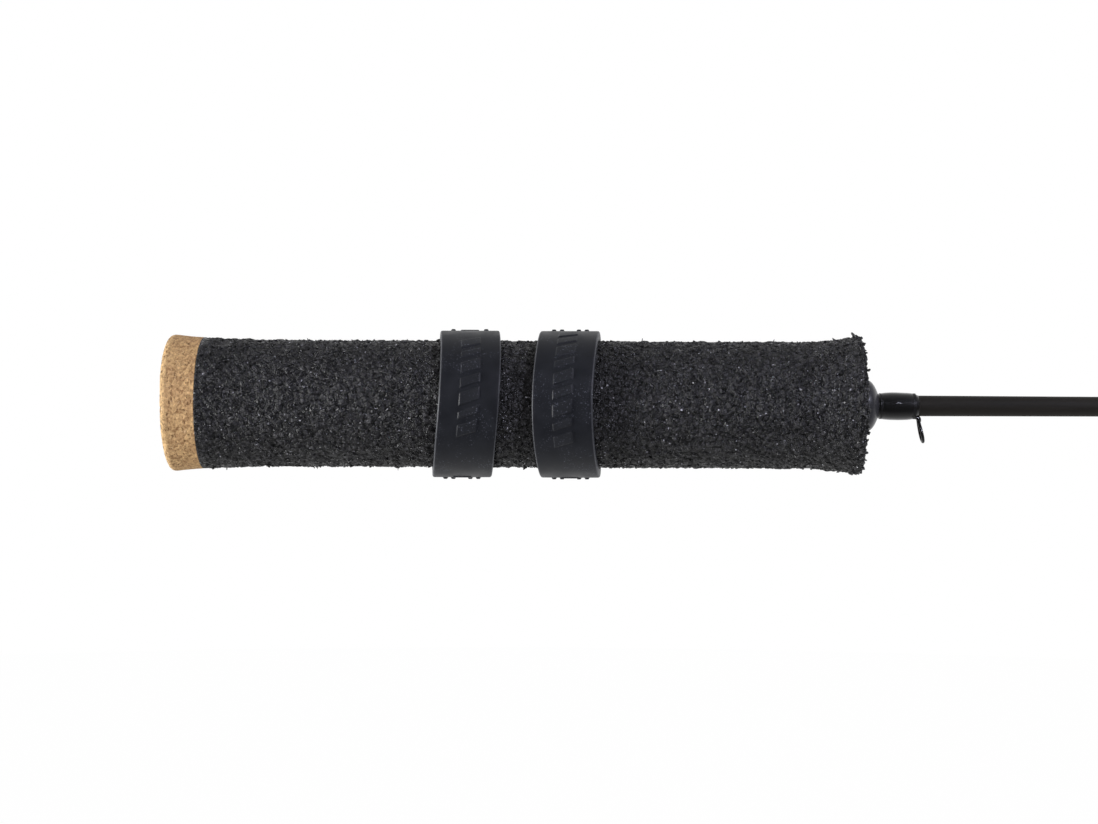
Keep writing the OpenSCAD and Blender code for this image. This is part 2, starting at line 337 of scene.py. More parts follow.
class Look:
    """A procedural material, built up node by node. Sizes are in millimetres on the object."""

    def __init__(self, name, **settings):
        self.material = bpy.data.materials.new(name)
        self.material.use_nodes = True
        self.tree = self.material.node_tree
        self.shader = self.tree.nodes["Principled BSDF"]
        self.place = self.node("ShaderNodeTexCoord").outputs["Object"]
        for key, value in settings.items():
            self.set(key.replace("_", " "), value)

    def node(self, kind, inputs=None, **settings):
        made = add_node(self.tree, kind, **settings)
        for key, value in (inputs or {}).items():
            self.plug(value, made.inputs[key])
        return made

    def plug(self, value, socket):
        if isinstance(value, bpy.types.NodeSocket):
            self.tree.links.new(value, socket)
        else:
            socket.default_value = value

    def set(self, key, value):
        """Sets one of the shader's sockets by its name, whatever the case."""
        names = {s.name.lower(): s for s in self.shader.inputs}
        self.plug(value, names[key.lower()])

    def stretched(self, x=1.0, y=1.0, z=1.0):
        """The object's coordinates, scaled along each axis."""
        node = self.node("ShaderNodeVectorMath", {0: self.place, 1: (x, y, z)}, operation="MULTIPLY")
        return node.outputs[0]

    def noise(self, size, detail=3.0, roughness=0.55, where=None):
        node = self.node("ShaderNodeTexNoise", {
            "Vector": where or self.place, "Scale": 1 / (size * MM), "Detail": detail, "Roughness": roughness,
        })
        return node.outputs["Fac"]

    def cells(self, size, output, where, feature="F1"):
        node = self.node("ShaderNodeTexVoronoi", {"Vector": where, "Scale": 1 / (size * MM)}, feature=feature)
        return node.outputs[output]

    def range(self, value, low, high, to_low=0.0, to_high=1.0):
        node = self.node("ShaderNodeMapRange", {
            "Value": value, "From Min": low, "From Max": high, "To Min": to_low, "To Max": to_high,
        }, interpolation_type="SMOOTHSTEP")
        return node.outputs["Result"]

    def math(self, operation, a, b):
        return self.node("ShaderNodeMath", {0: a, 1: b}, operation=operation).outputs[0]

    def times(self, a, b):
        return self.math("MULTIPLY", a, b)

    def plus(self, a, b):
        return self.math("ADD", a, b)

    def blend(self, amount, low, high):
        node = self.node("ShaderNodeMix", data_type="RGBA")
        for value, socket in ((amount, node.inputs[0]), (low, node.inputs[6]), (high, node.inputs[7])):
            if isinstance(value, tuple) and len(value) == 3:
                value = (*value, 1.0)
            self.plug(value, socket)
        return node.outputs[2]

    def waves(self, pitch, distortion, detail):
        """Bands across X, pitch millimetres apart. The node itself counts 20 radians to a metre."""
        scale = TAU / 20 / (pitch * MM)
        node = self.node("ShaderNodeTexWave", {
            "Vector": self.place, "Scale": scale, "Distortion": distortion, "Detail": detail,
        }, bands_direction="X")
        return node.outputs["Fac"]

    def bump(self, height, depth, strength=1.0, after=None):
        """Relief of depth millimetres where height goes from 0 to 1, on top of an earlier bump."""
        inputs = {"Height": height, "Distance": depth * MM, "Strength": strength}
        if after is not None:
            inputs["Normal"] = after
        return self.node("ShaderNodeBump", inputs).outputs["Normal"]


def crumb_look(name):
    """Bonded rubber crumb: fine torn grains, a few slick enough to glint, with painted shade in seams and
    pits and painted glints.
    """
    dark, light = (0.006, 0.006, 0.0065), (0.062, 0.061, 0.068)
    # shade is a painted shade colour, laid in the seams between grains and in small pits.
    shade, glint = (0.003, 0.003, 0.003), (0.45, 0.45, 0.50)
    big, small, wavy = 1.25, 0.6, 0.9
    look = Look(name, specular_ior_level=0.6)
    wander = look.node("ShaderNodeTexNoise", {"Vector": look.place, "Scale": 1 / (1.1 * MM), "Detail": 2.0})
    shift = look.node("ShaderNodeVectorMath", {0: wander.outputs["Color"]}, operation="SCALE")
    look.plug(wavy * MM, shift.inputs["Scale"])
    moved = look.node("ShaderNodeVectorMath", {0: look.place, 1: shift.outputs[0]}, operation="ADD")
    where = moved.outputs[0]
    own = look.node("ShaderNodeSeparateColor", {"Color": look.cells(small, "Color", where)})
    seam = look.range(look.cells(big, "Distance", where, "DISTANCE_TO_EDGE"), 0.0, 0.17)
    small_seam = look.range(look.cells(small, "Distance", where, "DISTANCE_TO_EDGE"), 0.0, 0.24)
    hole = look.range(look.noise(0.9, 2.0, 0.6), 0.30, 0.44)
    streak = look.noise(0.40, 2.0, 0.6, look.stretched(1.0, 0.42, 0.42))
    patch = look.noise(4.0, 2.0)
    rough = look.noise(0.5, 2.0, 0.5)
    fine = look.noise(0.22, 3.0, 0.65)
    chip = look.range(look.cells(small, "Distance", where), 0.16, 0.32, 1.0, 0.0)
    # Painted glint: the colour of a few grains is lifted to near white, a glint painted into the colour;
    # glint is that colour.
    painted_glint_mask = look.times(chip, look.range(own.outputs[2], 0.935, 0.950))
    tone = look.range(own.outputs[0], 0.0, 1.0, 0.0, 0.2)
    tone = look.plus(tone, look.range(streak, 0.38, 0.68, 0.0, 0.78))
    tone = look.plus(tone, look.range(patch, 0.3, 0.7, 0.0, 0.15))
    # Painted shade: the colour darkens towards shade in the big and small seams between grains and in the
    # pits, where shade falls.
    unshaded_share = 1.0
    for gap, least in ((seam, 0.15), (small_seam, 0.45), (hole, 0.15)):
        unshaded_share = look.times(unshaded_share, look.range(gap, 0.0, 1.0, least, 1.0))
    body = look.blend(unshaded_share, shade, look.blend(tone, dark, light))
    look.set("Base Color", look.blend(painted_glint_mask, body, glint))
    gloss = look.range(look.times(own.outputs[1], own.outputs[2]), 0.10, 0.55, 0.62, 0.17)
    look.set("Roughness", look.plus(gloss, look.range(fine, 0.3, 0.7, -0.06, 0.1)))
    relief = look.bump(seam, 0.18, 0.9)
    relief = look.bump(small_seam, 0.10, 0.9, relief)
    relief = look.bump(rough, 0.34, 1.0, relief)
    look.set("Normal", look.bump(fine, 0.06, 0.9, relief))
    return look.material


def cork_look():
    """Pressed cork: fine pale grains with small brown flecks, a painted highlight along its rear rim, and
    painted shade in the rim's pits.
    """
    rim_width = 1.8
    look = Look("pressed_cork", specular_ior_level=0.2)
    cells = look.cells(0.5, "Color", look.stretched(1.0, 0.7, 0.7))
    grain = look.node("ShaderNodeSeparateColor", {"Color": cells})
    soft = look.noise(0.45, 4.0, 0.7)
    broad = look.noise(3.0, 2.0)
    tone = look.range(grain.outputs[0], 0.0, 1.0, 0.0, 0.45)
    tone = look.plus(tone, look.range(soft, 0.36, 0.64, 0.0, 0.55))
    body = look.blend(tone, (0.25, 0.130, 0.055), (0.76, 0.505, 0.245))
    body = look.blend(look.range(broad, 0.4, 0.7, 0.0, 0.25), body, (0.46, 0.26, 0.13))
    fleck = look.range(look.noise(0.42, 2.0, 0.5, look.stretched(1.0, 0.55, 0.55)), 0.615, 0.69)
    pale = look.range(look.noise(0.36, 2.0, 0.5, look.stretched(0.8, 1.0, 1.0)), 0.62, 0.72)
    body = look.blend(look.times(fleck, 0.75), body, (0.12, 0.055, 0.022))
    body = look.blend(look.times(pale, 0.55), body, (0.76, 0.56, 0.33))
    along = look.node("ShaderNodeSeparateXYZ", {0: look.place}).outputs["X"]
    rim = look.range(along, CAP_X * MM, (CAP_X + rim_width) * MM, 1.0, 0.0)
    rim_pit_shade = look.range(look.noise(0.5, 2.0, 0.6, look.stretched(1.0, 0.8, 0.8)), 0.56, 0.60)
    # Painted highlight: the colour grows paler towards the rounded rear rim.
    body = look.blend(look.times(rim, 0.4), body, (0.68, 0.50, 0.27))
    # Painted shade: the pits along the rear rim are darkened.
    body = look.blend(look.times(look.times(rim, rim_pit_shade), 0.9), body, (0.10, 0.05, 0.02))
    look.set("Base Color", body)
    look.set("Roughness", look.range(soft, 0.3, 0.7, 0.75, 0.92))
    relief = look.bump(soft, 0.10, 0.9)
    look.set("Normal", look.bump(look.math("SUBTRACT", 1.0, fleck), 0.10, 0.8, relief))
    return look.material


def band_look():
    """Moulded rubber: a smooth satin skin with dust caught here and there, greyer on its marks, with a
    painted highlight along its edges.
    """
    dark, light = (0.0062, 0.0072, 0.0105), (0.0095, 0.0108, 0.0152)
    mark_grey, dust_grey, rim_highlight_grey = (0.020, 0.0215, 0.0255), (0.085, 0.092, 0.118), (0.07, 0.072, 0.08)
    mark_share = 0.35
    look = Look("moulded_rubber", specular_ior_level=0.36)
    broad = look.noise(3.5, 3.0)
    fine = look.noise(0.22, 3.0)
    dust = look.range(look.noise(0.32, 2.0, 0.6), 0.60, 0.69)
    worn = look.range(look.noise(6.0, 2.0), 0.48, 0.60)
    rim_highlight_share = look.node("ShaderNodeAttribute", attribute_name="painted_rim_highlight").outputs["Fac"]
    from_axis = look.node("ShaderNodeVectorMath", {0: look.stretched(0.0)}, operation="LENGTH")
    mark = look.range(from_axis.outputs["Value"], (BAND_R + 0.06) * MM, (BAND_R + 0.15) * MM)
    marked = look.times(mark, mark_share)
    dusty = look.times(dust, look.plus(worn, marked))
    # Painted highlight: the colour is lightened towards grey along the band's rims, where make_band marks its
    # edges.
    rim_highlight_paint = look.times(rim_highlight_share, look.range(fine, 0.3, 0.7, 0.55, 1.0))
    base = look.blend(look.range(broad, 0.3, 0.7), dark, light)
    base = look.blend(marked, base, mark_grey)
    base = look.blend(look.times(dusty, 0.75), base, dust_grey)
    base = look.blend(rim_highlight_paint, base, rim_highlight_grey)
    look.set("Base Color", base)
    look.set("Roughness", look.range(broad, 0.3, 0.7, 0.44, 0.54))
    look.set("Normal", look.bump(fine, 0.014, 0.5))
    return look.material


def check_look():
    """Satin turned rubber, with fine turning marks."""
    look = Look("check_rubber", specular_ior_level=0.35)
    marks = look.noise(0.5, 2.0, 0.5, look.stretched(8.0, 0.6, 0.6))
    base = look.blend(look.noise(1.5, 2.0), (0.030, 0.030, 0.034), (0.040, 0.040, 0.044))
    look.set("Base Color", base)
    look.set("Roughness", look.range(marks, 0.3, 0.7, 0.26, 0.36))
    look.set("Normal", look.bump(marks, 0.01, 0.5))
    return look.material


def blank_look():
    """Resin-bonded fibre blank: brown-black and matte, with the faint spiral of its wrapping."""
    dark, light = (0.0115, 0.0098, 0.0074), (0.0180, 0.0155, 0.0118)
    look = Look("fibre_blank", specular_ior_level=0.3)
    streak = look.noise(0.35, 3.0, 0.6, look.stretched(0.03, 1.0, 1.0))
    spiral = look.waves(11.84, 1.2, 1.0)
    look.set("Base Color", look.blend(look.range(streak, 0.3, 0.7), dark, light))
    look.set("Roughness", look.range(streak, 0.3, 0.7, 0.60, 0.72))
    look.set("Normal", look.bump(spiral, 0.012, 0.35))
    return look.material


def coat_look():
    """Black thread seen through clear epoxy: fine windings under a smooth, very glossy skin."""
    look = Look("epoxy_over_thread", coat_weight=1.0, coat_roughness=0.12, coat_ior=1.5,
                specular_ior_level=0.2)
    winding = look.waves(THREAD_PITCH, 0.6, 1.0)
    look.set("Base Color", look.blend(winding, (0.0012, 0.0012, 0.0012), (0.0034, 0.0034, 0.0034)))
    look.set("Roughness", 0.5)
    look.set("Normal", look.bump(winding, 0.03, 0.4))
    return look.material


def thread_look():
    """Black winding thread, one turn against the next."""
    look = Look("thread", specular_ior_level=0.4)
    winding = look.waves(THREAD_PITCH, 0.4, 2.0)
    look.set("Base Color", look.blend(winding, (0.004, 0.004, 0.004), (0.010, 0.010, 0.0105)))
    look.set("Roughness", 0.5)
    look.set("Normal", look.bump(winding, 0.04, 0.7))
    return look.material


def metal_look(name, base, roughness, worn=(0.03, 0.015, 0.008)):
    """Black plated or painted metal, with a little unevenness in its gloss and a warm tint where worn."""
    look = Look(name, specular_ior_level=0.6)
    patch = look.noise(1.2, 3.0)
    look.set("Base Color", look.blend(look.range(patch, 0.45, 0.75, 0.0, 0.5), base, worn))
    look.set("Roughness", look.range(patch, 0.3, 0.7, roughness * 0.8, roughness * 1.3))
    look.set("Normal", look.bump(look.noise(0.3, 3.0), 0.006, 0.4))
    return look.material


def ceramic_look():
    """Polished dark oxide ceramic."""
    look = Look("oxide_ceramic", specular_ior_level=0.7)
    patch = look.noise(0.6, 3.0)
    look.set("Base Color", look.blend(patch, (0.016, 0.016, 0.018), (0.030, 0.030, 0.033)))
    look.set("Roughness", look.range(patch, 0.3, 0.7, 0.10, 0.16))
    return look.material


def floor_look():
    """Nearly white by its own light, so that it looks the same from every side."""
    look = Look("pale_floor", specular_ior_level=0.0, roughness=0.9)
    look.set("Base Color", (0.01, 0.01, 0.01, 1.0))
    look.set("Emission Color", (1.0, 1.0, 1.0, 1.0))
    look.set("Emission Strength", 0.99)
    return look.material


CRUMB = crumb_look("rubber_crumb")
SHRED = crumb_look("rubber_shred")
CORK = cork_look()
BAND = band_look()
CHECK = check_look()
BLANK = blank_look()
COAT = coat_look()
THREAD = thread_look()
KEEPER = metal_look("keeper_wire", (0.008, 0.008, 0.008), 0.22)
FRAME = metal_look("black_frame", (0.010, 0.010, 0.011), 0.25, (0.014, 0.014, 0.015))
CERAMIC = ceramic_look()


# ---------- camera, light and floor


def make_camera():
    """Looks along +Y at the handle from close by, as the photograph does, a little below the rod's axis."""
    camera = placed("camera", bpy.data.cameras.new("camera"))
    camera.data.lens = 65.9
    camera.data.sensor_width = 36.0
    camera.data.clip_start = 0.01
    distance, ahead, below, roll = 405.0, 6.6, 1.55, -0.25
    camera.location = Vector((ahead, -distance, -below)) * MM
    level = Matrix.Rotation(TAU / 4, 3, "X")
    camera.rotation_euler = (Matrix.Rotation(math.radians(roll), 3, "Y") @ level).to_euler()
    bpy.context.scene.camera = camera


def make_world():
    """White all round to look at. What lights the rod is graded by the angle round the rod's axis, from -180
    through 0 (the camera's side) and 90 (above) to 180 degrees (behind): dark in front, where a studio's room
    is, and brightest behind."""
    world = bpy.data.worlds.new("studio")
    bpy.context.scene.world = world
    world.use_nodes = True
    tree = world.node_tree
    tree.nodes.clear()
    place = add_node(tree, "ShaderNodeTexCoord")
    parts = add_node(tree, "ShaderNodeSeparateXYZ")
    front = add_node(tree, "ShaderNodeMath", operation="MULTIPLY")
    front.inputs[1].default_value = -1.0
    angle = add_node(tree, "ShaderNodeMath", operation="ARCTAN2")
    turn = add_node(tree, "ShaderNodeMapRange")
    for name, value in (("From Min", -math.pi), ("From Max", math.pi), ("To Min", 0.0), ("To Max", 1.0)):
        turn.inputs[name].default_value = value
    grade = add_node(tree, "ShaderNodeValToRGB")
    stops = (  # degrees, brightness
        (-180, 1.0), (-130, 0.85), (-92, 0.50), (-68, 0.28), (-46, 0.08),
        (48, 0.06), (64, 0.18), (90, 0.36), (118, 0.58), (150, 1.05), (180, 1.0),
    )
    for _ in stops[2:]:
        grade.color_ramp.elements.new(0.5)
    for element, (degrees, value) in zip(grade.color_ramp.elements, stops):
        element.position = degrees / 360 + 0.5
        element.color = (value, value, value, 1.0)
    seen = add_node(tree, "ShaderNodeLightPath")
    mix = add_node(tree, "ShaderNodeMix", data_type="FLOAT")
    mix.inputs[3].default_value = 1.0
    background = add_node(tree, "ShaderNodeBackground")
    background.inputs["Color"].default_value = (1.0, 1.0, 1.0, 1.0)
    out = add_node(tree, "ShaderNodeOutputWorld")
    for a, b in (
        (place.outputs["Generated"], parts.inputs[0]), (parts.outputs["Y"], front.inputs[0]),
        (parts.outputs["Z"], angle.inputs[0]), (front.outputs[0], angle.inputs[1]),
        (angle.outputs[0], turn.inputs["Value"]), (turn.outputs[0], grade.inputs[0]),
        (seen.outputs["Is Camera Ray"], mix.inputs[0]), (grade.outputs["Color"], mix.inputs[2]),
        (mix.outputs[0], background.inputs["Strength"]), (background.outputs[0], out.inputs[0]),
    ):
        tree.links.new(a, b)


def make_light(name, direction, size, power, color=(1.0, 1.0, 1.0), in_gloss=True):
    """A square soft light, size metres across, that looks at the handle from a direction. One that is not
    in_gloss is a little farther off, and evens out the dull surfaces without a reflection on shiny ones."""
    light = placed(name, bpy.data.lights.new(name, "AREA"))
    light.data.size = size
    light.data.energy = power
    light.data.color = color
    light.visible_camera = False
    light.visible_glossy = in_gloss
    direction = Vector(direction).normalized()
    light.location = direction * (0.9 if in_gloss else 1.0)
    light.rotation_euler = direction.to_track_quat("Z", "Y").to_euler()


def make_floor(depth=0.4, radius=3.0, sides=96):
    """A round pale floor under the rod. It neither throws light up at the rod nor shades it."""
    angle = np.arange(sides) * TAU / sides
    rim = np.stack([np.cos(angle) * radius, np.sin(angle) * radius, np.full(sides, -depth)], axis=1)
    mesh = bpy.data.meshes.new("floor")
    mesh.from_pydata([tuple(p) for p in rim], [], [tuple(range(sides))])
    floor = placed("floor", mesh)
    dress(floor, floor_look())
    floor.visible_diffuse = floor.visible_glossy = floor.visible_shadow = False


COOL = (0.80, 0.81, 1.0)
FILL = 1.6
make_camera()
make_world()
make_light("glint", (0.24, -0.87, 0.43), size=0.03, power=0.27, color=COOL)
make_light("left", (-0.97, -0.24, 0.0), size=0.20, power=10.0)
make_light("right", (0.66, -0.62, 0.42), size=0.06, power=3.2, color=COOL)
make_light("front_fill", (0.0, -1.0, 0.30), size=FILL, power=5.0, color=(0.97, 0.94, 1.0), in_gloss=False)
make_light("low_fill", (0.0, -0.45, -0.89), size=FILL, power=5.0, in_gloss=False)
make_light("top_fill", (0.0, -0.30, 0.95), size=FILL, power=1.5, color=(1.0, 0.98, 0.86), in_gloss=False)
make_floor()
bpy.context.scene.view_settings.view_transform = "Standard"


# ---------- grip


def grip_profile():
    """The grip's closed outline as x, radius: outer surface, front face, bore and rear face."""
    x, r = outline("grip")
    bore = blank_radius(x[0])
    check = span("winding_check")[1][2]
    step, under_check = 0.342, 1.0
    outer = resampled(x, r, step)
    radii = np.arange(r[-1] - step, check - under_check, -step)
    front = np.stack([np.full(len(radii), x[-1]), radii], axis=1)
    hidden = np.array([[x[-1], bore], [x[0], bore]])
    return np.vstack([outer, front, hidden]), len(outer), len(front)


def grip_relief(p, front):
    """How far the crumb stands out of the grip's drawn surface at points p. front is 1 at the torn front end
    and 0 away from it."""
    warp = np.stack([smooth_noise(p, 1.1, 10 + k) for k in range(3)], axis=1) * 0.5
    q = (p + warp) * [0.8, 1, 1]
    middle, gap, own = grains(q, 1.25, 20)
    _, small_gap, small_own = grains(q + 31.7, 0.7, 24)
    lump = 0.24 * (own - 0.5) * ramp(gap, 0.0, 0.25) + 0.12 * (0.5 - middle)
    crease = -0.22 * (1 - ramp(gap, 0.0, 0.22)) - 0.13 * (1 - ramp(small_gap, 0.0, 0.28))
    fine = 0.18 * (small_own - 0.5) + 0.06 * layered_noise(p, 0.8, 30, 2)
    broad = 0.04 * layered_noise(p, 6.0, 34, 2)
    torn = front * (0.18 * layered_noise(p, 1.9, 40, 3) + 0.12 * (own - 0.45))
    return np.clip(0.04 + lump + crease + fine + broad + torn, -0.5, 0.24 + 0.3 * front)


def make_grip():
    """The grip's crumbled surface, with the rim of its front face worn back. Returns its outer profile."""
    profile, outer, front = grip_profile()
    segments, inset, setback = 232, 0.15, 0.42
    shape = turned(profile, segments)
    drawn = outer + front
    points = shape.points[0][: drawn * segments]
    out = outward(profile[:drawn], points, segments)
    rear_x, front_x = profile[0, 0], profile[outer - 1, 0]
    depth = grip_relief(points, ramp(points[:, 0], front_x - 4.0, front_x - 0.5))
    depth *= 0.35 + 0.65 * ramp(points[:, 0], rear_x, rear_x + 1.5)
    depth[:segments] = 0
    depth[outer * segments:] -= inset
    back = setback * ramp(points[:, 0], front_x - 3.0, front_x)
    points += out * depth[:, None] - back[:, None] * [1, 0, 0]
    piece("grip_crumb", shape, CRUMB, stands_for=["grip"])
    return profile[:outer]


def shred_sizes(random, profile):
    """Each shred's place along the grip and round it, the way it lies, and its length, width, lift and curl:
    most lie almost flat, a fringe and a few tufts are at the front rim, and there are some fine hairs."""
    plain, fringe, tufts, hairs = 5200, 230, 18, 50
    count = plain + fringe + tufts + hairs
    _, near_front, tuft, hair = np.split(np.arange(count), np.cumsum([plain, fringe, tufts]))
    rear, front = profile[0, 0], profile[-1, 0]
    x = random.uniform(rear + 0.8, front - 0.6, count)
    x[near_front] = front - random.exponential(1.0, fringe).clip(0.65, 6)
    x[tuft] = front - random.uniform(0.6, 1.9, tufts)
    angle = random.uniform(0, TAU, count)
    heading = random.uniform(0, TAU, count)
    length = np.exp(random.normal(-0.5, 0.3, count)).clip(0.3, 1.2)
    width = length * random.uniform(0.25, 0.6, count)
    lift = np.radians(random.uniform(2, 26, count))
    curl = np.radians(random.normal(0, 22, count))
    length[near_front] = random.uniform(0.3, 0.75, fringe)
    lift[near_front] = np.radians(random.uniform(0, 28, fringe))
    width[near_front] = length[near_front] * random.uniform(0.5, 0.9, fringe)
    for some, long, wide, raised in (
        (tuft, (0.9, 1.5), (0.4, 0.7), (10, 80)), (hair, (0.6, 1.1), (0.12, 0.22), (25, 80)),
    ):
        length[some] = random.uniform(*long, len(some))
        width[some] = random.uniform(*wide, len(some))
        lift[some] = np.radians(random.uniform(*raised, len(some)))
    curl[hair] = np.radians(random.normal(0, 60, hairs))
    return x, angle, heading[:, None], length, width, lift, curl


def make_shreds(profile, seed=7):
    """Torn shreds of rubber that stand out of the crumb, thicker and rougher round the grip's front end."""
    random = np.random.default_rng(seed)
    x, angle, heading, length, width, lift, curl = shred_sizes(random, profile)
    count = len(x)
    r = np.interp(x, profile[:, 0], profile[:, 1])
    out = np.stack([np.zeros(count), np.cos(angle), np.sin(angle)], axis=1)
    round_way = np.stack([np.zeros(count), -np.sin(angle), np.cos(angle)], axis=1)
    flat_way = np.cos(heading) * [1, 0, 0] + np.sin(heading) * round_way
    flat_way /= np.linalg.norm(flat_way, axis=1)[:, None]
    across = np.cross(out, flat_way)
    steps, sunk = 4, 0.14
    centre = np.stack([x, r * np.cos(angle), r * np.sin(angle)], axis=1) - out * sunk
    rings = []
    for k, taper in enumerate((0.8, 1.0, 0.85, 0.45)):
        bend = (lift + curl * k / steps)[:, None]
        direction = np.cos(bend) * flat_way + np.sin(bend) * out
        upward = np.cos(bend) * out - np.sin(bend) * flat_way
        half = (width * taper / 2)[:, None] * random.uniform(0.7, 1.3, count)[:, None]
        thick = (width * 0.3 * taper + 0.03)[:, None]
        rings.append(np.stack([
            centre - across * half - upward * thick, centre + across * half - upward * thick,
            centre + across * half * 0.8 + upward * thick, centre - across * half * 0.8 + upward * thick,
        ], axis=1))
        centre = centre + direction * (length / (steps - 1))[:, None]
        across = across + 0.25 * random.normal(size=(count, 1)) * out
        across /= np.linalg.norm(across, axis=1)[:, None]
    points = np.stack(rings, axis=1).reshape(-1, 3)
    per = steps * 4
    ends = [[0, 3, 2, 1], [per - 4, per - 3, per - 2, per - 1]]
    one = np.vstack([grid_faces(steps, 4), ends])
    faces = (one[None] + (np.arange(count) * per)[:, None, None]).reshape(-1, 4)
    piece("grip_shreds", Shape().add(points, faces), SHRED, smooth=False)


# ---------- cork butt cap


def make_cap():
    """Turned cork with crumbled pits, and a rear face that was sanded a hair out of square."""
    segments, step, socket = 520, 0.16, 5.0
    x, r = outline("butt_cap", least=socket)
    face_r = np.geomspace(0.4, r[0], 60)[:-1]
    face = np.stack([np.full(len(face_r), x[0]), face_r], axis=1)
    back = np.array([[x[-1], blank_radius(x[-1])]])
    profile = np.vstack([face, resampled(x, r, step), back])
    shape = turned(profile, segments)
    points = shape.points[0]
    rows = np.repeat(np.arange(len(profile)), segments)
    out = outward(profile, points, segments)
    _, gap, own = grains(points, 0.8, 50)
    radius = np.hypot(points[:, 1], points[:, 2])
    rim = np.exp(-((points[:, 0] - x[0] - 0.3) / 0.6) ** 2) * ramp(radius, r[0] - 1.5, r[0])
    pits = ramp(smooth_noise(points, 0.55, 60), 0.35, 0.75)
    depth = 0.03 * (own - 0.5) - 0.03 * (1 - ramp(gap, 0.0, 0.14)) - 0.09 * pits * (0.55 + 2.6 * rim)
    depth += 0.035 * layered_noise(points, 2.5, 64, 2)
    keep = (rows < len(profile) - 2) * ramp(x[-1] - points[:, 0], 0.0, 0.35)
    points += out * (depth * keep)[:, None]
    askew = ramp(x[-1] - points[:, 0], 2.5, x[-1] - x[0])
    points[:, 0] += askew * (-0.12 * points[:, 2] / r[0] + 0.10 * smooth_noise(points, 7.0, 70))
    piece("cork_cap", shape, CORK, stands_for=["butt_cap"])


# ---------- reel bands


def band_fit(node):
    """How a band's sleeve lies: its middle's x and how its cut edges lean along Y and Z, then its half
    width and its two radii."""
    p = node_points(node)
    radius = np.hypot(p[:, 1], p[:, 2])
    terms = np.column_stack([np.ones(len(p)), p[:, 1], p[:, 2]])
    plane, *_ = np.linalg.lstsq(terms, p[:, 0], rcond=None)
    return plane, np.abs(p[:, 0] - terms @ plane).mean(), radius.min(), radius.max()


def band_marks(turn, across, groups, studs, dashes):
    """Height, from 0 to 1, of the raised marks at places round the band (degrees from its front, upwards) and
    across it (millimetres from its middle): groups of slanted bars, short dashes, and rows of studs."""
    pitch, halves, wide, slant, edge = 12.4, (4.9, 3.1, 5.2, 4.0), 1.95, 1.3, 0.2
    dash_long, dash_wide, stud_r, stud_high = 0.5, 1.9, 0.56, 1.9
    height = np.zeros(len(turn))
    to_mm = BAND_R * TAU / 360

    def along(place):
        return ((turn - place + 180) % 360 - 180) * to_mm

    for first, number in groups:
        for k in range(number):
            lean = slant * across / (2 * wide)
            inside = halves[k % 4] * to_mm - np.abs(along(first + pitch * k) - lean)
            height = np.maximum(height, ramp(np.minimum(inside, wide - np.abs(across)), 0.0, edge))
    for place in dashes:
        inside = np.minimum(dash_long - np.abs(along(place)), dash_wide - np.abs(across))
        height = np.maximum(height, ramp(inside, 0.0, edge))
    for place, offsets in studs:
        for side in offsets:
            far = np.hypot(along(place), across - side)
            height = np.maximum(height, stud_high * ramp(stud_r - far, 0.0, 0.25))
    return height


def make_band(node, name, groups, studs, dashes, wander):
    """A sleeve with rounded edges, its marks raised on a finer mesh across the middle. wander is how its
    edges stray, as waves round it: how many, how far in millimetres, and where in degrees."""
    plane, half, inner, outer = band_fit(node)
    segments, rim, mark_high, marked_half = 700, 0.42, 0.18, 4.3

    def round_order(loop):
        return loop[np.argsort(np.arctan2(loop[:, 1] - (inner + outer) / 2, loop[:, 0]))]

    section = [[-half, inner], [half, inner], [half, outer], [-half, outer]]
    soft = round_order(rounded(section, [0.25, 0.25, rim, rim], 6))
    top = soft[:, 1] > outer - 1e-6
    left, right = soft[top, 0].min(), soft[top, 0].max()
    rows = np.concatenate([
        np.arange(left + 0.25, -marked_half, 0.3), np.arange(-marked_half, marked_half, 0.105),
        np.arange(marked_half, right - 0.2, 0.3),
    ])
    flat = np.stack([rows, np.full(len(rows), outer)], axis=1)[::-1]
    profile = round_order(np.vstack([soft[~top], [[right, outer]], flat, [[left, outer]]]))
    across = np.repeat(profile[:, 0], segments)
    radius = np.repeat(profile[:, 1], segments)
    turn = np.tile(np.arange(segments) * TAU / segments, len(profile))
    on_top = radius > outer - 0.01
    raised = band_marks(np.degrees(turn), across, groups, studs, dashes) * on_top * mark_high
    y, z = -np.cos(turn), np.sin(turn)
    spread = np.stack([across, y * outer, z * outer], axis=1)
    raised += 0.05 * smooth_noise(spread, 9.0, 3) * (radius > inner + 0.1)
    wave = sum(size * np.cos(k * (turn - np.radians(at))) for k, size, at in wander)
    x = plane[0] + plane[1] * y * radius + plane[2] * z * radius + across + wave
    points = np.stack([x, y * (radius + raised), z * (radius + raised)], axis=1)
    faces = grid_faces(len(profile), segments, loop_rows=True)[:, ::-1]
    mesh = Shape().add(points, faces).mesh(name)
    # Painted highlight: how far each point near the edges of the band's outer face is lightened, from 0 to 1.
    rim_highlight_values = mesh.attributes.new("painted_rim_highlight", "FLOAT", "POINT")
    rim_highlight_values.data.foreach_set("value", ramp(np.abs(across), half - 0.32, half - 0.16) * (radius > inner + 0.6))
    piece(name, mesh, BAND, body=node, stands_for=[node])


# ---------- blank, check and butt wrap


def make_blank():
    """The whole taper, with the faint waviness that a rolled blank keeps."""
    x = np.concatenate([[BLANK_X[0]], np.arange(BLANK_X[0] + 1, BLANK_X[-1], 1.0), [BLANK_X[-1]]])
    taper = bored(x, blank_radius(x), core=0.05, segments=64)
    piece("blank_taper", taper, BLANK, stands_for=["blank"])


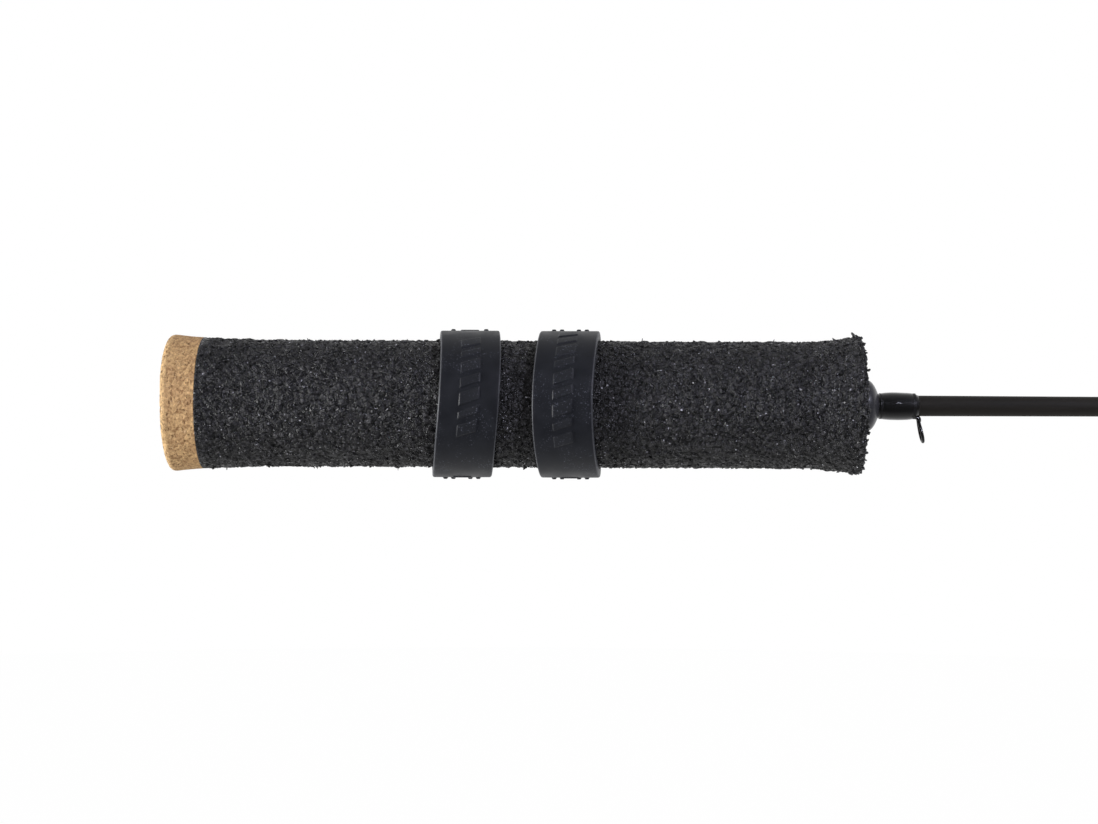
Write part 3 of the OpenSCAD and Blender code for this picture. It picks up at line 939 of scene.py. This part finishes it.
def make_check():
    """The domed winding check, with a soft rolled lip round the wrap."""
    x, r = outline("winding_check")
    lo, hi = span("winding_check")
    inner = blank_radius(hi[0])
    blunt = 0.35
    t, place = np.linspace(0, 1, 60), np.linspace(0, 1, len(x))
    curve = np.stack([np.interp(t, place, x), np.interp(t, place, r)], axis=1)
    curve[1:-1] = (curve[:-2] + 2 * curve[1:-1] + curve[2:]) / 4
    curve[:, 0] -= blunt * ramp(curve[:, 0], hi[0] - 2.2, hi[0])
    profile = np.vstack([curve, [[hi[0] - 0.25 - blunt, inner], [lo[0], inner]]])
    piece("check_dome", turned(profile, 128), CHECK, stands_for=["winding_check"])


def make_butt_wrap():
    """The glossy barrel of epoxy over the thread, with small swells where it was brushed on, and a bead of it
    down the keeper's root. reach is how far along the barrel, and height how full it is there."""
    lo, hi = span("butt_epoxy")
    drop = -(lo[2] + hi[2]) / 2
    full = (hi[1] - lo[1]) / 2
    start, end = lo[0] - 0.5, hi[0]
    bare = blank_radius(end)
    reach = np.array([0, 0.06, 0.15, 0.30, 0.5, 0.72, 0.84, 0.90, 0.95, 1.0])
    height = np.array([0.42, 0.62, 0.82, 0.95, 1.0, 0.92, 0.80, 0.62, 0.32, 0.03])
    t = np.linspace(0, 1, 90)
    r = bare + (full - bare) * np.interp(t, reach, height)
    softening = 40
    for _ in range(softening):
        r[1:-1] = (r[:-2] + 2 * r[1:-1] + r[2:]) / 4
    x = start + (end - start) * t
    shape = bored(x, r, core=bare - 0.3, segments=128)
    p = shape.points[0]
    swell = 0.035 * smooth_noise(p, 2.6, 80)
    centre = drop * ramp(end - p[:, 0], 0.2, 1.5)
    p[:, 1] *= 1 + swell / full
    p[:, 2] = p[:, 2] * (1 + swell / full) - centre
    bead = np.array([[-1.0, 0, -0.05], [-0.3, 0, -0.22], [0.2, 0, -0.42], [0.35, 0, -0.9]])
    shape.add(*swept(smooth_path(bead + [end, 0, -bare], 5), np.linspace(0.5, 0.36, 16), 16))
    piece("butt_wrap_gloss", shape, COAT, stands_for=["butt_epoxy"])


def make_keeper():
    """One bent wire: a foot under the wrap, down one side of the loop, round, and back to the other foot.
    loop is how far out the wire is at each share of the way down."""
    lo, hi = span("hook_keeper")
    wrap_end = span("butt_epoxy")[1][0]
    wire = 0.31
    half = (hi[1] - lo[1]) / 2 - wire
    root = np.array([wrap_end - 0.05, 0.0, -blank_radius(wrap_end) - wire])
    foot = np.array([lo[0] + wire, 0.0, root[2]])
    down = np.array([hi[0] + 0.05, 0.0, lo[2] + wire]) - root
    loop = ((0.08, 0.33), (0.30, half * 0.62), (0.58, half * 0.95), (0.80, half * 0.93), (0.95, half * 0.52))
    side = [foot + [0, wire, 0], root + [-1.6, wire, 0], root + [-0.35, wire, 0]]
    side += [root + down * share + [0, out, 0] for share, out in loop]
    other = [p * [1, -1, 1] for p in side[::-1]]
    path = smooth_path(side + [root + down] + other, 8)
    shape = Shape().add(*swept(path, wire, 20))
    piece("keeper_loop", shape, KEEPER, stands_for=["hook_keeper"])


# ---------- guides and tip-top


COLLAR_WIDE = 1.1
COLLAR_WALL = 0.5


def ring_shape(node):
    """A polished ring: a full round bead inside, so that the line runs on a curve, and a plain outer wall."""
    lo, hi = span(node)
    p = node_points(node)
    middle = (lo + hi) / 2
    radius = np.hypot(p[:, 1], p[:, 2] - middle[2])
    inner, outer, half = radius.min(), radius.max(), (hi[0] - lo[0]) / 2
    bead = (outer - inner) * 0.62
    turn = np.linspace(-TAU / 4, TAU / 4, 15)
    inside = [[middle[0] + half * math.sin(a), inner + bead * (1 - math.cos(a))] for a in turn]
    edge = 0.18
    low = outer - edge * 1.6
    outside = [[hi[0], low], [hi[0] - edge, outer], [lo[0] + edge, outer], [lo[0], low]]
    return turned(np.array(inside + outside), 96, -middle[2]), middle, outer


def collar_parts(shape, middle, outer):
    """The pressed metal collar round a ring."""
    rear, front = middle[0] - COLLAR_WIDE / 2, middle[0] + COLLAR_WIDE / 2
    low, high = outer - 0.05, outer + COLLAR_WALL
    profile = rounded([[rear, low], [front, low], [front, high], [rear, high]], 0.22, 4)
    return shape.join(turned(profile, 96, -middle[2]))


def leg_and_foot(shape, middle, outer, neck, foot_end, way, wire=0.44):
    """A wire from each side of the collar, the two drawn together and rolled flat into one foot."""
    round_r = outer + COLLAR_WALL * 0.55
    for side in (-1, 1):
        high, low = (
            middle + [0, side * round_r * math.sin(turn), round_r * math.cos(turn)]
            for turn in (math.radians(58), 1.5)
        )
        neck_z = -blank_radius(neck) - 0.42
        path = smooth_path([
            low, high,
            high * 0.45 + np.array([neck, side * 0.28, neck_z]) * 0.55 + [0, side * 0.10, -0.05],
            [neck - way * 0.25, side * 0.25, neck_z - 0.04],
            [neck + way * 1.4, side * 0.22, -blank_radius(neck) - 0.28],
        ], 8)
        flat = np.interp(np.arange(len(path)), [0, len(path) * 0.8, len(path)], [1, 1, 0.7])
        shape.add(*swept(path, wire, 14, flat))
    run = np.linspace(neck + way * 0.6, foot_end, 9)
    height = -blank_radius(run) - np.linspace(0.30, 0.06, 9)
    path = np.stack([run, np.zeros(9), height], axis=1)
    shape.add(*swept(path, np.linspace(0.62, 0.5, 9), 16, np.linspace(0.45, 0.2, 9)))


def coat_shape(x0, x1, radius, drop, swell_seed, foot_way=0):
    """Epoxy over a guide's wrap: a low barrel that thins onto the blank, fuller where a foot is under it."""
    t = np.linspace(0, 1, 80)
    x = x0 + (x1 - x0) * t
    bare = blank_radius(x)
    lift = ramp(t, 0.0, 0.13) * ramp(1 - t, 0.0, 0.13)
    toward_foot = 1 - 0.35 * (t if foot_way > 0 else 1 - t) if foot_way else np.ones(len(t))
    r = bare + 0.02 + (radius - bare) * lift * toward_foot
    shape = bored(x, r, core=bare.min() * 0.8, segments=72)
    p = shape.points[0]
    shift = drop * np.interp(p[:, 0], x, lift * toward_foot)
    swell = 1 + 0.02 * smooth_noise(p, 2.2, swell_seed)
    p[:, 1] *= swell
    p[:, 2] = p[:, 2] * swell - shift
    return shape


def make_guide(n):
    """One line guide: its ring, its wire frame with a foot or two, and the epoxy over each foot's thread."""
    ring, middle, outer = ring_shape(f"guide_{n}_ring")
    piece(f"guide_{n}_ceramic", ring, CERAMIC, stands_for=[f"guide_{n}_ring"])
    lo, hi = span(f"guide_{n}_frame")
    frame_shape = collar_parts(Shape(), middle, outer)
    feet = [(way, end) for way, end in ((-1, lo[0]), (1, hi[0])) if abs(end - middle[0]) > 3]
    epoxy_lo, epoxy_hi = span(f"guide_{n}_epoxy")
    thread = node_points(f"guide_{n}_thread")
    lip, drop, fullest = 0.6, 0.26, (epoxy_hi[1] - epoxy_lo[1]) / 2
    coats = Shape()
    for way, foot_end in feet:
        mine = thread[(thread[:, 0] - middle[0]) * way > 0, 0]
        near = mine.min() if way > 0 else mine.max()
        leg_and_foot(frame_shape, middle, outer, near - way * 1.0, foot_end - way * 0.3, way)
        coats.join(coat_shape(mine.min() - lip, mine.max() + lip, fullest, drop, 90 + n, way))
    piece(
        f"guide_{n}_wireframe", fused(f"guide_{n}_wireframe", frame_shape, 0.11), FRAME,
        stands_for=[f"guide_{n}_frame"],
    )
    piece(f"guide_{n}_gloss", coats, COAT, stands_for=[f"guide_{n}_epoxy"])


def make_tip():
    """The tip-top: a tube over the blank's end, its ring on two wires, and the epoxy behind it."""
    ring, middle, outer = ring_shape("tip_ring")
    piece("tip_ceramic", ring, CERAMIC, stands_for=["tip_ring"])
    shape = collar_parts(Shape(), middle, outer)
    lo, hi = span("tip_frame")
    tube_r = hi[2]
    bore = blank_radius(lo[0]) + 0.02
    tube_end = middle[0] - 0.7
    tube = turned(rounded([
        [lo[0], bore], [tube_end - 2.5, bore], [tube_end - 2.4, 0.12], [tube_end, 0.12],
        [tube_end + 0.3, tube_r * 0.7], [tube_end - 0.5, tube_r], [lo[0], tube_r],
    ], [0.1, 0.05, 0.05, 0.05, 0.3, 0.3, 0.15], 4), 48)
    shape.join(tube)
    reach = outer + 0.3
    for side in (-1, 1):
        path = smooth_path([
            [lo[0] + 3.2, side * tube_r * 0.62, -tube_r * 0.45],
            [lo[0] + 4.6, side * tube_r * 0.80, -tube_r * 0.75],
            [middle[0] - 2.2, side * (reach * 0.9), middle[2] * 0.72],
            [middle[0] - 0.1, side * reach, middle[2] * 0.98],
        ], 10)
        shape.add(*swept(path, 0.42, 14))
    skin = fused("tip_wireframe", shape, 0.085)
    piece("tip_wireframe", skin, FRAME, stands_for=["tip_frame"])
    lo, hi = span("tip_epoxy")
    gloss = coat_shape(lo[0], hi[0] + 0.4, (hi[1] - lo[1]) / 2, 0.0, 99)
    piece("tip_gloss", gloss, COAT, stands_for=["tip_epoxy"])


# ---------- the rod

make_shreds(make_grip())
make_cap()
PAIR = (-3.3, 3.3)
ROW = (-3.3, -1.7, 1.7, 3.3)
make_band(
    "rear_band", "rear_reel_band", groups=[(-19, 7), (-178, 7)], studs=[(92, PAIR), (-89, ROW)],
    dashes=[90, -80], wander=[(2, -0.05, 0), (1, -0.15, -90), (3, 0.08, 20)],
)
make_band(
    "front_band", "front_reel_band", groups=[(-28, 9), (-190, 8)], studs=[(92, ROW), (-90, ROW)],
    dashes=[-84, -98], wander=[(2, -0.22, 0), (1, -0.05, 90), (3, 0.08, 50)],
)
make_blank()
make_check()
make_butt_wrap()
make_keeper()
for number in range(1, 6):
    make_guide(number)
make_tip()
for wrap in [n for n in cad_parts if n.endswith("_thread")]:
    dress(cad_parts[wrap], THREAD)
